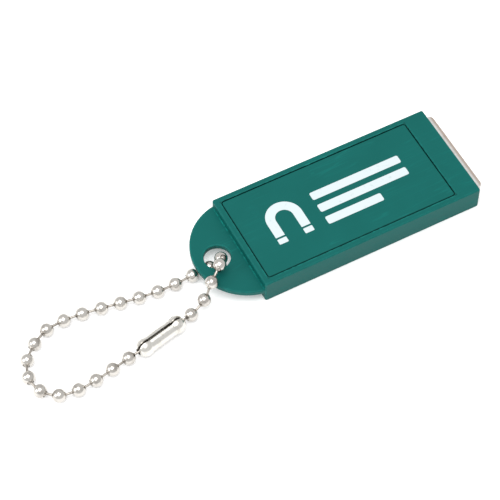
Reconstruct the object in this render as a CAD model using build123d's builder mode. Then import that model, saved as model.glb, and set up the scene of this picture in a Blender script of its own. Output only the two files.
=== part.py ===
from build123d import *
import os

# Pocket key-chain magnet: a flat plastic case with a magnet pack in its open working end, a
# cover let into its top, and a ball chain looped through the lug at its other end.
# Millimetres. The origin is the centre of the case's bottom face, +X points out of the
# working end and +Z up; everything stands on the plane z = 0.

# ---- case ----
case_length = 54.0
case_width = 25.4
case_height = 6.2
floor_thick = 1.3
corner_round = 0.45
edge_round = 0.35

# ---- lug for the chain ----
lug_reach = 10.5
lug_root_width = 25.0
lug_bottom = 2.5
lug_thick = 1.65
lug_top_round = 0.25
lug_bottom_round = 0.6
hole_dia = 6.0
hole_from_tip = 5.3

# ---- cover ----
cover_length = 46.7
cover_width = 22.2
cover_thick = 1.3
cover_corner = 0.6
cover_from_lug_end = 1.6
cover_gap = 0.2
tongue_length = 1.2
tongue_width = 16.0
tongue_thick = 0.55

# ---- pegs that hold the cover, and their bosses ----
peg_dia = 1.8
peg_length = 2.4
peg_gap = 0.04
boss_dia = 3.8
peg_row_x = (5.0, 11.0)
peg_spread = 14.0
pocket_wall = 1.2

# ---- magnet pack: steel plate, ferrite block, steel plate ----
pole_width = 22.2
pole_thick = 0.9
pole_length = 40.0
pole_proud = 1.6
pole_corner = 1.0
magnet_inset = 1.2
magnet_length = 36.0
magnet_width = 21.0
pack_gap = 0.08

# ---- ball chain ----
bead_dia = 3.0
bead_wall = 0.2
bead_hole_dia = 1.5
wire_dia = 0.56
head_dia = 1.54
pitch = 4.26
pivot_offset = 0.8
bead_count = 26

# ---- chain connector ----
clip_gap = 0.25
clip_wall = 0.3
clip_waist_dia = 3.6
clip_blend = 0.8
clip_slot = 0.66
clip_slot_turn = 86
clip_mouth_dia = 1.5
clip_eye_dia = 0.5
clip_eye_turn = 40

# ---- places worked out from the sizes above ----
lug_end = -case_length / 2
work_end = case_length / 2
lug_tip = lug_end - lug_reach
lug_top = lug_bottom + lug_thick
hole_x = lug_tip + hole_from_tip
cover_bed = case_height - cover_thick
cover_x0 = lug_end + cover_from_lug_end
cover_x1 = cover_x0 + cover_length
cover_mid = (cover_x0 + cover_x1) / 2
magnet_thick = cover_bed - floor_thick - 2 * pole_thick
pole_x1 = work_end + pole_proud
pole_x0 = pole_x1 - pole_length
pack_back = pole_x0 - pack_gap
peg_spots = [(cover_x0 + x, side * peg_spread / 2) for x in peg_row_x for side in (-1, 1)]
pin_length = pitch - 2 * pivot_offset
table = bead_dia / 2
clip_axis = bead_dia / 2 + clip_gap + clip_wall

# The line that the chain lies along, from one end bead in the connector to the other: over
# the lug, down through its hole, out under its tip and round on the table.
chain_line = [
    (hole_x - 15.1, -10.2, clip_axis),
    (hole_x - 10.9, -9.1, table + 0.1),
    (hole_x - 7.1, -7.8, 2.9),
    (hole_x - 4.5, -6.2, lug_top + 1.45),
    (hole_x - 1.3, -3.8, lug_top + 2.75),
    (hole_x + 0.4, -1.0, lug_top + 0.35),
    (hole_x + 1.6 - 0.6 * hole_dia, -0.1, table),
    (hole_x - 6.4, -0.2, table),
    (hole_x - 10.6, -0.5, table),
    (hole_x - 18.6, 0.0, table),
    (hole_x - 27.2, 1.4, table),
    (hole_x - 35.9, 2.4, table),
    (hole_x - 40.2, 1.9, table),
    (hole_x - 44.0, -0.2, table),
    (hole_x - 47.1, -3.5, table),
    (hole_x - 48.3, -7.6, table),
    (hole_x - 47.1, -11.6, table),
    (hole_x - 44.0, -14.1, table),
    (hole_x - 39.8, -14.6, table),
    (hole_x - 31.6, -13.4, table),
    (hole_x - 27.5, -12.6, table + 0.1),
    (hole_x - 23.4, -12.1, clip_axis),
]

os.makedirs("parts", exist_ok=True)


def save(part, name):
    part.label = name
    export_step(part, f"parts/{name}.step")


# Case: one moulding. The block and its lug come first, then the recess for the cover, the
# rebate for its tongue, the through pocket for the magnet pack, and the cored-out back with
# four bosses that take the cover's pegs.
with BuildPart() as case_body:
    with BuildSketch(Plane.XY):
        Rectangle(case_length, case_width)
    extrude(amount=case_height)
    fillet(case_body.edges().filter_by(Axis.Z), corner_round)
    fillet(case_body.edges().group_by(Axis.Z)[-1], edge_round)
    fillet(case_body.edges().group_by(Axis.Z)[0], edge_round)
    with BuildSketch(Plane.XY.offset(lug_bottom)):
        with BuildLine():
            rim = ThreePointArc(
                (lug_end, -lug_root_width / 2), (lug_tip, 0), (lug_end, lug_root_width / 2)
            )
            Polyline(
                rim @ 1,
                (lug_end + corner_round, lug_root_width / 2),
                (lug_end + corner_round, -lug_root_width / 2),
                rim @ 0,
            )
        make_face()
        with Locations((hole_x, 0)):
            Circle(hole_dia / 2, mode=Mode.SUBTRACT)
    extrude(amount=lug_thick)
    for level, rounding in ((lug_bottom, lug_bottom_round), (lug_top, lug_top_round)):
        rims = case_body.edges().filter_by(GeomType.CIRCLE)
        rims = rims.filter_by_position(Axis.X, lug_tip - 1, lug_end - 0.5)
        fillet(rims.filter_by_position(Axis.Z, level - 0.01, level + 0.01), rounding)
    with BuildSketch(Plane.XY.offset(cover_bed)):
        with Locations((cover_mid, 0)):
            RectangleRounded(
                cover_length + 2 * cover_gap, cover_width + 2 * cover_gap, cover_corner + cover_gap
            )
    extrude(amount=cover_thick, mode=Mode.SUBTRACT)
    with BuildSketch(Plane.XY.offset(cover_bed)):
        with Locations((cover_x1 - cover_gap, 0)):
            Rectangle(
                tongue_length + 2 * cover_gap,
                tongue_width + 2 * cover_gap,
                align=(Align.MIN, Align.CENTER),
            )
    extrude(amount=tongue_thick + cover_gap, mode=Mode.SUBTRACT)
    with BuildSketch(Plane.XY.offset(floor_thick)):
        with Locations((pack_back, 0)):
            Rectangle(
                work_end - pack_back, pole_width + 2 * pack_gap, align=(Align.MIN, Align.CENTER)
            )
    extrude(amount=cover_bed - floor_thick, mode=Mode.SUBTRACT)
    with BuildSketch(Plane.XY.offset(floor_thick)):
        with Locations((cover_x0 + pocket_wall, 0)):
            Rectangle(
                pack_back - 2 * pocket_wall - cover_x0,
                cover_width - 2 * pocket_wall,
                align=(Align.MIN, Align.CENTER),
            )
        with Locations(*peg_spots):
            Circle(boss_dia / 2, mode=Mode.SUBTRACT)
    extrude(amount=cover_bed - floor_thick, mode=Mode.SUBTRACT)
    with BuildSketch(Plane.XY.offset(cover_bed)):
        with Locations(*peg_spots):
            Circle(peg_dia / 2 + peg_gap)
    extrude(amount=-(peg_length + 2 * peg_gap), mode=Mode.SUBTRACT)
save(case_body.part, "case_body")

# Cover: a flat moulded plate with a tongue on its front edge and four pegs underneath.
with BuildPart() as cover_plate:
    with BuildSketch(Plane.XY.offset(cover_bed)):
        with Locations((cover_mid, 0)):
            RectangleRounded(cover_length, cover_width, cover_corner)
    extrude(amount=cover_thick)
    with BuildSketch(Plane.XY.offset(cover_bed)):
        with Locations((cover_x1 - cover_corner, 0)):
            Rectangle(
                tongue_length + cover_corner, tongue_width, align=(Align.MIN, Align.CENTER)
            )
    extrude(amount=tongue_thick)
    with BuildSketch(Plane.XY.offset(cover_bed)):
        with Locations(*peg_spots):
            Circle(peg_dia / 2)
    extrude(amount=-peg_length)
    fillet(cover_plate.edges().group_by(Axis.Z)[-1], cover_gap)
save(cover_plate.part, "cover_plate")

# Pole plates: two steel blanks that lead the magnet's pull out to the working end.
for name, level in (
    ("pole_plate_lower", floor_thick),
    ("pole_plate_upper", floor_thick + pole_thick + magnet_thick),
):
    with BuildPart() as pole_plate:
        with BuildSketch(Plane.XY.offset(level)):
            with Locations((pole_x0, 0)):
                Rectangle(pole_length, pole_width, align=(Align.MIN, Align.CENTER))
        extrude(amount=pole_thick)
        fillet(pole_plate.edges().filter_by(Axis.Z).group_by(Axis.X)[-1], pole_corner)
    save(pole_plate.part, name)

# Magnet: one ferrite block between the plates, a little behind their pole faces.
with BuildPart() as magnet_block:
    with BuildSketch(Plane.XY.offset(floor_thick + pole_thick)):
        with Locations((pole_x1 - magnet_inset, 0)):
            Rectangle(magnet_length, magnet_width, align=(Align.MAX, Align.CENTER))
    extrude(amount=magnet_thick)
    chamfer(magnet_block.edges().filter_by(Axis.Z), pole_corner / 2)
save(magnet_block.part, "magnet_block")

# Chain: the beads stand at equal steps along the line, and none sinks below the table. Each
# one turns halfway between its two pins, and the end beads line up with the connector. A
# bead is a thin hollow ball with a hole at each end.
with BuildLine():
    lie = Spline(*chain_line)
bead_at = []
for i in range(bead_count):
    spot = lie.position_at(i / (bead_count - 1))
    bead_at.append(Vector(spot.X, spot.Y, max(spot.Z, table)))
first, last = bead_at[0], bead_at[-1]
clip_dir = (first - last).normalized()
runs = [(b - a).normalized() for a, b in zip(bead_at, bead_at[1:])]
bead_dir = [clip_dir] + [(a + b).normalized() for a, b in zip(runs, runs[1:])] + [clip_dir]

for number, (centre, direction) in enumerate(zip(bead_at, bead_dir), 1):
    with BuildPart(Plane(origin=centre, z_dir=direction)) as bead:
        Sphere(bead_dia / 2)
        Sphere(bead_dia / 2 - bead_wall, mode=Mode.SUBTRACT)
        Cylinder(bead_hole_dia / 2, 2 * bead_dia, mode=Mode.SUBTRACT)
    save(bead.part, f"chain_bead_{number:02d}")

# A pin is a short wire whose ends are upset into heads too big for the holes of the beads.
for number in range(1, bead_count):
    start = bead_at[number - 1] + bead_dir[number - 1] * pivot_offset
    finish = bead_at[number] - bead_dir[number] * pivot_offset
    middle = (start + finish) / 2
    with BuildPart(Plane(origin=middle, z_dir=finish - start)) as pin:
        Cylinder(wire_dia / 2, pin_length)
        with Locations((0, 0, -pin_length / 2), (0, 0, pin_length / 2)):
            Sphere(head_dia / 2)
    save(pin.part, f"chain_pin_{number:02d}")

# Connector: a rolled sheet-metal sleeve with a bulb round each end bead, a waist between
# them, round mouths for the pins, and a slot high on its side that a pin slides in through.
# A small eye is pierced through the first bulb, beside the slot.
clip_plane = Plane(origin=(first + last) / 2, x_dir=clip_dir, z_dir=(0, 0, 1))
half_hold = (first - last).length / 2
bulb_radius = bead_dia / 2 + clip_gap + clip_wall
with BuildPart() as chain_connector:
    with BuildSketch(clip_plane) as clip_section:
        with Locations((-half_hold, 0), (half_hold, 0)):
            Circle(bulb_radius)
        Rectangle(2 * half_hold, clip_waist_dia)
        fillet(
            clip_section.vertices().filter_by_position(Axis.X, -half_hold + 0.1, half_hold - 0.1),
            clip_blend,
        )
        offset(amount=-clip_wall, mode=Mode.SUBTRACT)
        Rectangle(4 * half_hold, clip_mouth_dia, mode=Mode.SUBTRACT)
        Rectangle(
            4 * half_hold, 2 * bulb_radius, align=(Align.CENTER, Align.MAX), mode=Mode.SUBTRACT
        )
    revolve(axis=Axis(clip_plane.origin, clip_plane.x_dir))
    clip_line = Axis(clip_plane.origin, clip_dir)
    slot_dir = clip_plane.y_dir.rotate(clip_line, clip_slot_turn)
    with BuildSketch(Plane(clip_plane.origin, x_dir=clip_dir, z_dir=slot_dir)):
        Rectangle(4 * half_hold, clip_slot)
    extrude(amount=2 * bulb_radius, mode=Mode.SUBTRACT)
    eye_dir = clip_plane.y_dir.rotate(clip_line, clip_eye_turn)
    with BuildSketch(Plane(first, z_dir=eye_dir)):
        Circle(clip_eye_dia / 2)
    extrude(amount=2 * bulb_radius, mode=Mode.SUBTRACT)
save(chain_connector.part, "chain_connector")
print(f"chain line {lie.length:.2f} mm, step {lie.length / (bead_count - 1):.3f} mm, pitch {pitch} mm")
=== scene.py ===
import math

import bmesh
import bpy
from mathutils import Matrix, Vector


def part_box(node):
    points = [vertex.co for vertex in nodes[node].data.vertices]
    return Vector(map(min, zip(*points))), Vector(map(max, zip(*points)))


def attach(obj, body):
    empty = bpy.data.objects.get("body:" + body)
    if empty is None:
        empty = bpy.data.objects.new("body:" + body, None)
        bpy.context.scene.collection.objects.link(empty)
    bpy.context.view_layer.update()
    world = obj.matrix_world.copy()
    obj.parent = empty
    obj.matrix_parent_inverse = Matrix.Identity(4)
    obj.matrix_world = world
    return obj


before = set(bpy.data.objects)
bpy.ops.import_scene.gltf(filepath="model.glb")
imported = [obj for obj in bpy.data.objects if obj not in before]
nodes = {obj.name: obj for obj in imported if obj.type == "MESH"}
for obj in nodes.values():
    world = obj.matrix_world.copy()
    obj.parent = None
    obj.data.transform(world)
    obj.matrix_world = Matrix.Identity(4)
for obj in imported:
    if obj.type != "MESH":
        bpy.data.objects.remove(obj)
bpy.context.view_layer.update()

# Case: one satin moulding in teal plastic, made in one shot with its lug, its chain hole, the
# recess for the cover and the pocket for the magnet. Its faces keep a fine mould grain. Its
# outer edges are painted a little lighter, partly as rubbing wear and partly as a painted
# highlight, and painted shade darkens the seam round the cover.
case_teal = (0.0016, 0.100, 0.089, 1.0)
# Lighter teal for specks, scratches and rubbed edges; on the edges it is also a painted
# highlight.
case_worn_and_highlight = (0.010, 0.235, 0.205, 1.0)
case_deep = (0.0014, 0.090, 0.079, 1.0)
# Painted shade: the dark colour laid along the seam round the cover.
seam_shade_dark = (0.0006, 0.022, 0.020, 1.0)
case_grain_depth = 0.00002
case_rub_and_highlight_width = 0.0006
case_scratch_thin = 0.02


def new_group(name, inputs, outputs):
    group = bpy.data.node_groups.new(name, "ShaderNodeTree")
    for label, kind, value in inputs:
        socket = group.interface.new_socket(label, in_out="INPUT", socket_type=kind)
        socket.default_value = value
    for label, kind in outputs:
        group.interface.new_socket(label, in_out="OUTPUT", socket_type=kind)
    entry = group.nodes.new("NodeGroupInput")
    leave = group.nodes.new("NodeGroupOutput")
    return group, entry, leave


def math_node(tree, operation, *values):
    node = tree.nodes.new("ShaderNodeMath")
    node.operation = operation
    for socket, value in zip(node.inputs, values):
        if isinstance(value, (int, float)):
            socket.default_value = value
        else:
            tree.links.new(value, socket)
    return node.outputs[0]


def vector_node(tree, operation, *values):
    node = tree.nodes.new("ShaderNodeVectorMath")
    node.operation = operation
    for socket, value in zip(node.inputs, values):
        tree.links.new(value, socket)
    return node.outputs


def noise_node(tree, place, scale, detail=2.0, roughness=0.5):
    node = tree.nodes.new("ShaderNodeTexNoise")
    node.inputs["Detail"].default_value = detail
    node.inputs["Roughness"].default_value = roughness
    tree.links.new(place, node.inputs["Vector"])
    if isinstance(scale, (int, float)):
        node.inputs["Scale"].default_value = scale
    else:
        tree.links.new(scale, node.inputs["Scale"])
    return node.outputs["Fac"]


def cell_node(tree, place, scale):
    node = tree.nodes.new("ShaderNodeTexVoronoi")
    node.inputs["Scale"].default_value = scale
    tree.links.new(place, node.inputs["Vector"])
    return node.outputs["Distance"]


def ramp_node(tree, value, start, end):
    """A smooth step from 0 at start to 1 at end, falling where end is below start."""
    node = tree.nodes.new("ShaderNodeMapRange")
    node.interpolation_type = "SMOOTHSTEP"
    node.inputs["From Min"].default_value = start
    node.inputs["From Max"].default_value = end
    tree.links.new(value, node.inputs["Value"])
    return node.outputs["Result"]


def spread(tree, value, low, high):
    """Carry a value from 0..1 to low..high."""
    node = tree.nodes.new("ShaderNodeMapRange")
    node.inputs["To Min"].default_value = low
    node.inputs["To Max"].default_value = high
    tree.links.new(value, node.inputs["Value"])
    return node.outputs["Result"]


def colour_mix(tree, mask, first, second):
    node = tree.nodes.new("ShaderNodeMix")
    node.data_type = "RGBA"
    tree.links.new(mask, node.inputs["Factor"])
    for socket, value in ((node.inputs["A"], first), (node.inputs["B"], second)):
        if isinstance(value, tuple):
            socket.default_value = value
        else:
            tree.links.new(value, socket)
    return node.outputs["Result"]


def place_node(tree):
    return tree.nodes.new("ShaderNodeTexCoord").outputs["Object"]


# Edge rub and highlight: how strongly a spot lies on an outer edge. The finishes paint such
# spots lighter, partly as rubbing wear and partly as a painted highlight. The bevelled normal
# turns away from the true one there, and noise breaks the line up.
edge_mask_samples = 6
edge_mask_bend = (0.01, 0.11)
edge_mask_patches = (0.3, 0.65)
edge_rub_and_highlight, edge_mask_in, edge_mask_out = new_group(
    "edge_rub_and_highlight",
    [("Width", "NodeSocketFloat", 0.0003), ("Breakup", "NodeSocketFloat", 900.0)],
    [("Mask", "NodeSocketFloat")],
)
edge_mask_bevel = edge_rub_and_highlight.nodes.new("ShaderNodeBevel")
edge_mask_bevel.samples = edge_mask_samples
edge_rub_and_highlight.links.new(edge_mask_in.outputs["Width"], edge_mask_bevel.inputs["Radius"])
edge_mask_true = edge_rub_and_highlight.nodes.new("ShaderNodeNewGeometry")
edge_mask_match = vector_node(
    edge_rub_and_highlight, "DOT_PRODUCT", edge_mask_bevel.outputs["Normal"], edge_mask_true.outputs["Normal"]
)
edge_mask_turned = math_node(edge_rub_and_highlight, "SUBTRACT", 1.0, edge_mask_match["Value"])
edge_mask_noise = noise_node(
    edge_rub_and_highlight, place_node(edge_rub_and_highlight), edge_mask_in.outputs["Breakup"], detail=3.0, roughness=0.6
)
rub_and_highlight_mask = math_node(
    edge_rub_and_highlight,
    "MULTIPLY",
    ramp_node(edge_rub_and_highlight, edge_mask_turned, *edge_mask_bend),
    ramp_node(edge_rub_and_highlight, edge_mask_noise, *edge_mask_patches),
)
edge_rub_and_highlight.links.new(rub_and_highlight_mask, edge_mask_out.inputs["Mask"])

# Mould grain: the fine spark-eroded skin of a moulded face, with a faint flow pattern and
# scattered lighter specks.
grain_cell_scale = 2600.0
grain_cell_share = 0.35
grain_speck = (0.62, 0.78)
mould_grain, grain_in, grain_out = new_group(
    "mould_grain",
    [("Grain Scale", "NodeSocketFloat", 5200.0), ("Flow Scale", "NodeSocketFloat", 120.0)],
    [
        ("Height", "NodeSocketFloat"),
        ("Flow", "NodeSocketFloat"),
        ("Speck", "NodeSocketFloat"),
    ],
)
grain_place = place_node(mould_grain)
grain_fine = noise_node(
    mould_grain, grain_place, grain_in.outputs["Grain Scale"], detail=3.0, roughness=0.65
)
grain_flow = noise_node(mould_grain, grain_place, grain_in.outputs["Flow Scale"])
grain_cells = cell_node(mould_grain, grain_place, grain_cell_scale)
grain_pebble = math_node(mould_grain, "MULTIPLY", grain_cells, grain_cell_share)
grain_height = math_node(mould_grain, "ADD", grain_fine, grain_pebble)
mould_grain.links.new(grain_height, grain_out.inputs["Height"])
mould_grain.links.new(grain_flow, grain_out.inputs["Flow"])
mould_grain.links.new(
    ramp_node(mould_grain, grain_fine, *grain_speck), grain_out.inputs["Speck"]
)

# Hairlines: fine handling scratches in two directions, each line long, thin and faint. They
# lie in patches, where the case has been rubbed.
hair_runs = ((0.35, 0.0), (-1.1, 0.7))
hair_stretch = (0.06, 1.0, 1.0)
hair_middle = 0.5
hair_fade = (0.5, 0.0)
hair_patch_scale = 90.0
hair_patches = (0.5, 0.62)
hairlines, hair_in, hair_out = new_group(
    "hairlines",
    [("Line Scale", "NodeSocketFloat", 420.0), ("Thin", "NodeSocketFloat", 0.03)],
    [("Mask", "NodeSocketFloat")],
)
hair_place = place_node(hairlines)
hair_lines = []
for hair_turn, hair_shift in hair_runs:
    hair_map = hairlines.nodes.new("ShaderNodeMapping")
    hair_map.inputs["Location"].default_value = (hair_shift, hair_shift, 0.0)
    hair_map.inputs["Rotation"].default_value = (0.0, 0.0, hair_turn)
    hair_map.inputs["Scale"].default_value = hair_stretch
    hairlines.links.new(hair_place, hair_map.inputs["Vector"])
    hair_noise = noise_node(
        hairlines, hair_map.outputs["Vector"], hair_in.outputs["Line Scale"]
    )
    hair_off = math_node(hairlines, "SUBTRACT", hair_noise, hair_middle)
    hair_far = math_node(hairlines, "ABSOLUTE", hair_off)
    hair_near = math_node(hairlines, "DIVIDE", hair_far, hair_in.outputs["Thin"])
    hair_lines.append(ramp_node(hairlines, hair_near, *hair_fade))
hair_patch = ramp_node(
    hairlines, noise_node(hairlines, hair_place, hair_patch_scale), *hair_patches
)
hair_both = math_node(hairlines, "MAXIMUM", *hair_lines)
hair_mask = math_node(hairlines, "MULTIPLY", hair_both, hair_patch)
hairlines.links.new(hair_mask, hair_out.inputs["Mask"])

# Seam shade: painted shade, a dark line along the outline of a let-in plate, on both lips of
# the joint, where the gap falls into shadow. Noise breaks the line into patches. Middle and
# Half are the plate's middle and half its size.
shade_gap_half = 0.0001
shade_fade = (0.00034, 0.00012)
shade_patch_scale = 700.0
shade_patches = (0.2, 0.5)
shade_share = 0.6
painted_seam_shade, shade_in, shade_out = new_group(
    "painted_seam_shade",
    [
        ("Middle", "NodeSocketVector", (0.0, 0.0, 0.0)),
        ("Half", "NodeSocketVector", (0.02, 0.01, 0.0)),
    ],
    [("Mask", "NodeSocketFloat")],
)
shade_place = place_node(painted_seam_shade)
shade_from = vector_node(painted_seam_shade, "SUBTRACT", shade_place, shade_in.outputs["Middle"])
shade_away = vector_node(painted_seam_shade, "ABSOLUTE", shade_from["Vector"])
shade_past = vector_node(
    painted_seam_shade, "SUBTRACT", shade_away["Vector"], shade_in.outputs["Half"]
)
shade_axes = painted_seam_shade.nodes.new("ShaderNodeSeparateXYZ")
painted_seam_shade.links.new(shade_past["Vector"], shade_axes.inputs[0])
shade_side = math_node(
    painted_seam_shade, "MAXIMUM", shade_axes.outputs["X"], shade_axes.outputs["Y"]
)
shade_off = math_node(painted_seam_shade, "SUBTRACT", shade_side, shade_gap_half)
shade_far = math_node(painted_seam_shade, "ABSOLUTE", shade_off)
shade_noise = noise_node(
    painted_seam_shade, shade_place, shade_patch_scale, detail=3.0, roughness=0.6
)
shade_line = math_node(
    painted_seam_shade,
    "MULTIPLY",
    ramp_node(painted_seam_shade, shade_far, *shade_fade),
    ramp_node(painted_seam_shade, shade_noise, *shade_patches),
)
shade_mask = math_node(painted_seam_shade, "MULTIPLY", shade_line, shade_share)
painted_seam_shade.links.new(shade_mask, shade_out.inputs["Mask"])


def placed(tree, group, **values):
    """Place a group in a material; an underscore in a keyword stands for a space."""
    node = tree.nodes.new("ShaderNodeGroup")
    node.node_tree = group
    for label, value in values.items():
        node.inputs[label.replace("_", " ")].default_value = value
    return node.outputs


def new_finish(name):
    material = bpy.data.materials.new(name)
    material.use_nodes = True
    tree = material.node_tree
    return material, tree, tree.nodes["Principled BSDF"]


def bump_into(tree, shader, height, strength, depth):
    node = tree.nodes.new("ShaderNodeBump")
    node.inputs["Strength"].default_value = strength
    node.inputs["Distance"].default_value = depth
    tree.links.new(height, node.inputs["Height"])
    tree.links.new(node.outputs["Normal"], shader.inputs["Normal"])


def give(node_name, material):
    slots = nodes[node_name].data.materials
    slots.clear()
    slots.append(material)


# Teal plastic: the finish that the case and the cover share. The cover's tongue reaches under
# the case's lip, so it isn't part of the outline that shows.
cover_tongue = 0.0012
cover_low, cover_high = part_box("cover_plate")
cover_high.x -= cover_tongue
cover_middle = (cover_low + cover_high) / 2
cover_half = (cover_high - cover_low) / 2
flow_tones = (-0.4, 1.2)
speck_share = 0.25
scratch_share = 0.14
satin_rough = (0.40, 0.56)
rub_polish = 0.12
scratch_rough = 0.15
plastic_gloss = 0.13
grain_strength = 0.35


def moulded_finish(name, grain_depth, rub_and_highlight_width, scratch_thin):
    material, tree, shader = new_finish(name)
    grain = placed(tree, mould_grain)
    rub_and_highlight = placed(tree, edge_rub_and_highlight, Width=rub_and_highlight_width)["Mask"]
    scratch = placed(tree, hairlines, Thin=scratch_thin)["Mask"]
    seam_shade = placed(tree, painted_seam_shade, Middle=cover_middle, Half=cover_half)["Mask"]
    tone = colour_mix(tree, spread(tree, grain["Flow"], *flow_tones), case_deep, case_teal)
    specks = math_node(tree, "MULTIPLY", grain["Speck"], speck_share)
    tone = colour_mix(tree, specks, tone, case_worn_and_highlight)
    scratches = math_node(tree, "MULTIPLY", scratch, scratch_share)
    tone = colour_mix(tree, scratches, tone, case_worn_and_highlight)
    # Painted highlight and rubbing wear: the outer edges are painted lighter.
    tone = colour_mix(tree, rub_and_highlight, tone, case_worn_and_highlight)
    # Painted shade: a dark line along the seam round the cover.
    tone = colour_mix(tree, seam_shade, tone, seam_shade_dark)
    tree.links.new(tone, shader.inputs["Base Color"])
    polish = math_node(tree, "MULTIPLY", rub_and_highlight, rub_polish)
    scuff = math_node(tree, "MULTIPLY", scratch, scratch_rough)
    rough = spread(tree, grain["Flow"], *satin_rough)
    rough = math_node(tree, "SUBTRACT", rough, polish)
    rough = math_node(tree, "ADD", rough, scuff)
    tree.links.new(rough, shader.inputs["Roughness"])
    shader.inputs["Specular IOR Level"].default_value = plastic_gloss
    bump_into(tree, shader, grain["Height"], grain_strength, grain_depth)
    return material


case_moulding = moulded_finish(
    "case_moulding", case_grain_depth, case_rub_and_highlight_width, case_scratch_thin
)
give("case_body", case_moulding)

# Magnet: one pressed and sintered ferrite block, ground flat on its faces. It is held
# between the plates by its own pull and shows only inside the slot of the working end.
ferrite_grey = (0.030, 0.030, 0.033, 1.0)
ferrite_pale = (0.085, 0.085, 0.09, 1.0)
ferrite_grit_scale = 4200.0
ferrite_chip_scale = 700.0
ferrite_paleness = (0.45, 0.8)
ferrite_rough = (0.55, 0.85)
ferrite_grit_strength = 0.5
ferrite_grit_depth = 0.00005
ferrite, ferrite_tree, ferrite_shader = new_finish("ferrite_block")
ferrite_place = place_node(ferrite_tree)
ferrite_grit = noise_node(
    ferrite_tree, ferrite_place, ferrite_grit_scale, detail=4.0, roughness=0.7
)
ferrite_chips = noise_node(ferrite_tree, ferrite_place, ferrite_chip_scale)
ferrite_mask = ramp_node(ferrite_tree, ferrite_grit, *ferrite_paleness)
ferrite_tone = colour_mix(ferrite_tree, ferrite_mask, ferrite_grey, ferrite_pale)
ferrite_grade = spread(ferrite_tree, ferrite_chips, *ferrite_rough)
ferrite_tree.links.new(ferrite_tone, ferrite_shader.inputs["Base Color"])
ferrite_tree.links.new(ferrite_grade, ferrite_shader.inputs["Roughness"])
bump_into(
    ferrite_tree,
    ferrite_shader,
    ferrite_grit,
    ferrite_grit_strength,
    ferrite_grit_depth,
)
give("magnet_block", ferrite)

# Pole plates: two blanks sheared from mild steel strip and zinc plated. Rolling marks run
# along them, and the plating has worn through at the working edge, which has a faint rust
# tinge.
zinc_grey = (0.60, 0.60, 0.585, 1.0)
zinc_bright = (0.82, 0.81, 0.79, 1.0)
zinc_dull = (0.42, 0.385, 0.35, 1.0)
rust_tinge = (0.44, 0.335, 0.27, 1.0)
rust_from = 0.0277
rust_full = 0.0283
marks_stains = (0.48, 0.72)
marks_pit_scale = 1800.0
marks_pit_edge = (0.22, 0.05)
metal_marks, marks_in, marks_out = new_group(
    "metal_marks",
    [
        ("Stretch", "NodeSocketVector", (1.0, 1.0, 1.0)),
        ("Line Scale", "NodeSocketFloat", 3000.0),
        ("Stain Scale", "NodeSocketFloat", 300.0),
    ],
    [
        ("Lines", "NodeSocketFloat"),
        ("Stain", "NodeSocketFloat"),
        ("Pits", "NodeSocketFloat"),
    ],
)
marks_place = place_node(metal_marks)
marks_pull = vector_node(
    metal_marks, "MULTIPLY", marks_place, marks_in.outputs["Stretch"]
)
marks_lines = noise_node(
    metal_marks,
    marks_pull["Vector"],
    marks_in.outputs["Line Scale"],
    detail=4.0,
    roughness=0.6,
)
marks_cloud = noise_node(
    metal_marks, marks_place, marks_in.outputs["Stain Scale"], detail=3.0, roughness=0.55
)
marks_stain = ramp_node(metal_marks, marks_cloud, *marks_stains)
marks_cells = cell_node(metal_marks, marks_place, marks_pit_scale)
marks_pits = ramp_node(metal_marks, marks_cells, *marks_pit_edge)
metal_marks.links.new(marks_lines, marks_out.inputs["Lines"])
metal_marks.links.new(marks_stain, marks_out.inputs["Stain"])
metal_marks.links.new(marks_pits, marks_out.inputs["Pits"])
stain_share = 0.7
pit_share = 0.35
tip_share = 0.8
stain_rough = 0.08
line_strength = 0.3


def metal_finish(
    name,
    tones,
    rough,
    stretch,
    line_scale,
    stain_scale,
    line_depth,
    rub_and_highlight_width=None,
    tip=None,
):
    plain, bright, dull = tones
    material, tree, shader = new_finish(name)
    marks = placed(
        tree, metal_marks, Stretch=stretch, Line_Scale=line_scale, Stain_Scale=stain_scale
    )
    stains = math_node(tree, "MULTIPLY", marks["Stain"], stain_share)
    pits = math_node(tree, "MULTIPLY", marks["Pits"], pit_share)
    tone = colour_mix(tree, marks["Lines"], plain, bright)
    tone = colour_mix(tree, stains, tone, dull)
    tone = colour_mix(tree, pits, tone, dull)
    if rub_and_highlight_width:
        rub_and_highlight = placed(tree, edge_rub_and_highlight, Width=rub_and_highlight_width)["Mask"]
        tone = colour_mix(tree, rub_and_highlight, tone, bright)
    if tip:
        tip_from, tip_full, tip_tone = tip
        along = tree.nodes.new("ShaderNodeSeparateXYZ")
        tree.links.new(place_node(tree), along.inputs[0])
        tinged = ramp_node(tree, along.outputs["X"], tip_from, tip_full)
        tinged = math_node(tree, "MULTIPLY", tinged, tip_share)
        tone = colour_mix(tree, tinged, tone, tip_tone)
    tree.links.new(tone, shader.inputs["Base Color"])
    grade = spread(tree, marks["Lines"], *rough)
    stained = math_node(tree, "MULTIPLY", marks["Stain"], stain_rough)
    grade = math_node(tree, "ADD", grade, stained)
    tree.links.new(grade, shader.inputs["Roughness"])
    shader.inputs["Metallic"].default_value = 1.0
    bump_into(tree, shader, marks["Lines"], line_strength, line_depth)
    return material


zinc_plate = metal_finish(
    "zinc_plate",
    (zinc_grey, zinc_bright, zinc_dull),
    rough=(0.30, 0.48),
    stretch=(0.06, 1.0, 1.0),
    line_scale=2600.0,
    stain_scale=260.0,
    line_depth=0.00001,
    rub_and_highlight_width=0.0002,
    tip=(rust_from, rust_full, rust_tinge),
)
give("pole_plate_lower", zinc_plate)
give("pole_plate_upper", zinc_plate)

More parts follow.
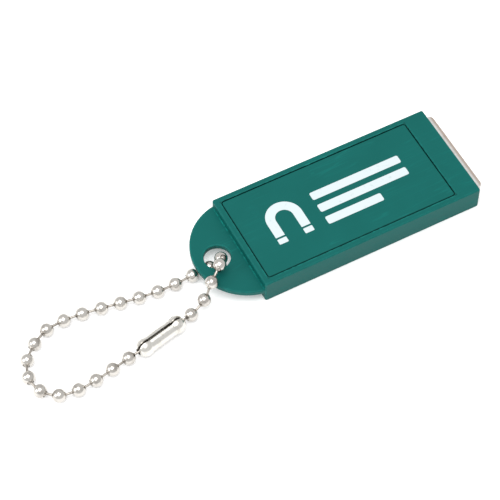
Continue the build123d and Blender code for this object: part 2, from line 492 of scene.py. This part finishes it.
# Cover: a flat plate moulded in the same teal plastic, pressed into the recess on four
# pegs. Its face is a little smoother than the case, so that the mark prints cleanly.
cover_grain_depth = 0.000012
cover_rub_and_highlight_width = 0.0003
cover_scratch_thin = 0.03
cover_moulding = moulded_finish(
    "cover_moulding", cover_grain_depth, cover_rub_and_highlight_width, cover_scratch_thin
)
give("cover_plate", cover_moulding)

# Printed mark: white pad-printed ink on the cover, a plain horseshoe magnet sign beside
# three bars. The ink is a thin film that stands on the cover's face and has worn through in
# small spots.
ink_white = (0.55, 0.62, 0.64, 1.0)
ink_thin = (0.40, 0.50, 0.51, 1.0)
ink_thick = 0.00004
ink_sunk = 0.00001
ink_wear_scale = 900.0
ink_wear = (0.58, 0.85)
ink_grain_scale = 6000.0
ink_rough = (0.35, 0.6)
ink_grain_strength = 0.3
ink_grain_depth = 0.00001
sign_x = -0.0150
sign_y = 0.0010
sign_outer = 0.0043
sign_inner = 0.0021
sign_leg = 0.0040
sign_steps = 32
tip_tall = 0.0014
tip_gap = 0.0005
tip_corner = 0.0002
bar_start = -0.0072
bar_top = 0.0042
bar_pitch = 0.0036
bar_tall = 0.0021
bar_lengths = (0.0225, 0.0225, 0.0140)
bar_corner = 0.0004
corner_steps = 5

ink, ink_tree, ink_shader = new_finish("pad_print_ink")
ink_place = place_node(ink_tree)
ink_spots = noise_node(ink_tree, ink_place, ink_wear_scale, detail=3.0, roughness=0.6)
ink_grain = noise_node(ink_tree, ink_place, ink_grain_scale, roughness=0.6)
ink_tone = colour_mix(
    ink_tree, ramp_node(ink_tree, ink_spots, *ink_wear), ink_white, ink_thin
)
ink_grade = spread(ink_tree, ink_grain, *ink_rough)
ink_tree.links.new(ink_tone, ink_shader.inputs["Base Color"])
ink_tree.links.new(ink_grade, ink_shader.inputs["Roughness"])
bump_into(ink_tree, ink_shader, ink_grain, ink_grain_strength, ink_grain_depth)


def film_piece(name, outlines):
    """Flat films of ink with these outlines, as one piece that rides on the case."""
    film = bmesh.new()
    for outline in outlines:
        ring = [film.verts.new((x, y, cover_high.z - ink_sunk)) for x, y in outline]
        raised = bmesh.ops.extrude_face_region(film, geom=[film.faces.new(ring)])["geom"]
        lifted = [part for part in raised if isinstance(part, bmesh.types.BMVert)]
        bmesh.ops.translate(film, verts=lifted, vec=(0, 0, ink_thick + ink_sunk))
    bmesh.ops.recalc_face_normals(film, faces=film.faces)
    mesh = bpy.data.meshes.new(name)
    film.to_mesh(mesh)
    film.free()
    mesh.materials.append(ink)
    piece = bpy.data.objects.new(name, mesh)
    bpy.context.scene.collection.objects.link(piece)
    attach(piece, "case")


def arc(radius):
    turns = [math.pi * step / sign_steps for step in range(sign_steps + 1)]
    return [(radius * math.cos(turn), radius * math.sin(turn)) for turn in turns]


def horseshoe():
    """Outline of the bent bar: over its outer arc, then back round its inner arc."""
    left_foot = [(-sign_outer, -sign_leg), (-sign_inner, -sign_leg)]
    right_foot = [(sign_inner, -sign_leg), (sign_outer, -sign_leg)]
    outline = arc(sign_outer) + left_foot + arc(sign_inner)[::-1] + right_foot
    return [(sign_x + x, sign_y + y) for x, y in outline]


def round_box(x0, y0, x1, y1, radius):
    """Outline of a box with rounded corners."""
    corners = (
        (x1 - radius, y1 - radius),
        (x0 + radius, y1 - radius),
        (x0 + radius, y0 + radius),
        (x1 - radius, y0 + radius),
    )
    outline = []
    for quarter, (x, y) in enumerate(corners):
        for step in range(corner_steps + 1):
            turn = math.pi / 2 * (quarter + step / corner_steps)
            outline.append((x + radius * math.cos(turn), y + radius * math.sin(turn)))
    return outline


tip_top = sign_y - sign_leg - tip_gap
tip_low = tip_top - tip_tall
sign_tips = [
    round_box(sign_x + start, tip_low, sign_x + end, tip_top, tip_corner)
    for start, end in ((-sign_outer, -sign_inner), (sign_inner, sign_outer))
]
film_piece("printed_magnet_sign", [horseshoe()] + sign_tips)
for row, length in enumerate(bar_lengths):
    top = bar_top - bar_pitch * row
    bar = round_box(bar_start, top - bar_tall, bar_start + length, top, bar_corner)
    film_piece(f"printed_bar_{row + 1}", [bar])

# Beads: thin steel balls rolled from strip and nickel plated, with a hole at each end. The
# plating is bright, with faint rubbing where beads knock together.
nickel = (0.55, 0.52, 0.475, 1.0)
nickel_bright = (0.66, 0.64, 0.61, 1.0)
nickel_dull = (0.30, 0.27, 0.24, 1.0)
bead_plate = metal_finish(
    "nickel_bead",
    (nickel, nickel_bright, nickel_dull),
    rough=(0.13, 0.25),
    stretch=(1.0, 1.0, 1.0),
    line_scale=1500.0,
    stain_scale=420.0,
    line_depth=0.000012,
)
for node_name in nodes:
    if node_name.startswith("chain_bead"):
        give(node_name, bead_plate)

# Pins: short drawn wires in the same plating, their ends upset into heads inside the beads.
# Each one joins two beads and turns freely in both.
wire_dull = (0.16, 0.14, 0.12, 1.0)
wire_plate = metal_finish(
    "nickel_wire",
    (nickel_dull, nickel, wire_dull),
    rough=(0.22, 0.36),
    stretch=(1.0, 1.0, 1.0),
    line_scale=3600.0,
    stain_scale=900.0,
    line_depth=0.000008,
)
for node_name in nodes:
    if node_name.startswith("chain_pin"):
        give(node_name, wire_plate)

# Connector: nickel-plated brass sheet, stamped and rolled into a sleeve round the two end
# beads. Its skin keeps the drag marks of the rolling tool and a fine crossed texture.
sleeve_nickel = (0.62, 0.605, 0.56, 1.0)
sleeve_bright = (0.78, 0.765, 0.73, 1.0)
sleeve_dull = (0.42, 0.39, 0.33, 1.0)
sleeve_plate = metal_finish(
    "nickel_sleeve",
    (sleeve_nickel, sleeve_bright, sleeve_dull),
    rough=(0.16, 0.32),
    stretch=(1.0, 0.35, 1.0),
    line_scale=2400.0,
    stain_scale=500.0,
    line_depth=0.00002,
    rub_and_highlight_width=0.00015,
)
give("chain_connector", sleeve_plate)

# Table: the plain white card that the part lies flat on. It is a little luminous, like a
# light table, so that the part's contact shadow stays faint.
table_half = 1.6
table_white = (0.90, 0.90, 0.90, 1.0)
table_shade = (0.87, 0.87, 0.875, 1.0)
table_glow = 0.2
table_rough = 0.85
table_gloss = 0.1
fibre_scale = 500.0
fibre_shade = (0.4, 0.7)
table_mesh = bmesh.new()
table_corners = [
    table_mesh.verts.new((x * table_half, y * table_half, 0.0))
    for x, y in ((-1, -1), (1, -1), (1, 1), (-1, 1))
]
table_mesh.faces.new(table_corners)
table_data = bpy.data.meshes.new("table_sheet")
table_mesh.to_mesh(table_data)
table_mesh.free()
card, card_tree, card_shader = new_finish("white_sheet")
card_fibre = noise_node(
    card_tree, place_node(card_tree), fibre_scale, detail=3.0, roughness=0.6
)
card_tone = colour_mix(
    card_tree, ramp_node(card_tree, card_fibre, *fibre_shade), table_white, table_shade
)
card_tree.links.new(card_tone, card_shader.inputs["Base Color"])
card_shader.inputs["Roughness"].default_value = table_rough
card_shader.inputs["Specular IOR Level"].default_value = table_gloss
card_shader.inputs["Emission Color"].default_value = (1.0, 1.0, 1.0, 1.0)
card_shader.inputs["Emission Strength"].default_value = table_glow
table_data.materials.append(card)
table_sheet = bpy.data.objects.new("table_sheet", table_data)
bpy.context.scene.collection.objects.link(table_sheet)

# Lamps: a white room that lights the part evenly from all round, with a large soft panel
# above and a smaller one at the left, which puts the highlights on the beads.
room_strength = 0.85
room = bpy.data.worlds.new("studio_room")
room.use_nodes = True
room_light = room.node_tree.nodes["Background"]
room_light.inputs["Color"].default_value = (1.0, 1.0, 1.0, 1.0)
room_light.inputs["Strength"].default_value = room_strength
bpy.context.scene.world = room


def soft_panel(name, place, width, power):
    """A square lamp, in metres and watts, that faces the middle of the case."""
    lamp = bpy.data.lights.new(name, "AREA")
    lamp.shape = "SQUARE"
    lamp.size = width
    lamp.energy = power
    holder = bpy.data.objects.new(name, lamp)
    holder.location = place
    holder.rotation_euler = (-Vector(place)).to_track_quat("-Z", "Y").to_euler()
    bpy.context.scene.collection.objects.link(holder)


soft_panel("panel_above", place=(-0.15, -0.10, 0.75), width=0.6, power=4.2)
soft_panel("panel_left", place=(-0.65, 0.10, 0.35), width=0.35, power=1.6)

# Camera: a long lens looking down on the cover from the chain's side of the near edge, far
# enough away that the case's edges stay almost parallel.
camera_place = Vector((-0.12987, -0.20253, 0.34119))
camera_aim = Vector((0.2572, 0.4938, -0.8307))
camera_roll = -0.006
camera_data = bpy.data.cameras.new("camera")
camera_data.lens = 134.06
camera_data.shift_x = 0.00194
camera_data.shift_y = 0.0043
camera_data.sensor_width = 36.0
camera = bpy.data.objects.new("camera", camera_data)
camera_turn = camera_aim.to_track_quat("-Z", "Y").to_matrix()
camera_turn = camera_turn @ Matrix.Rotation(camera_roll, 3, "Z")
camera.matrix_world = Matrix.Translation(camera_place) @ camera_turn.to_4x4()
bpy.context.scene.collection.objects.link(camera)
bpy.context.scene.camera = camera
bpy.context.scene.view_settings.view_transform = "Standard"
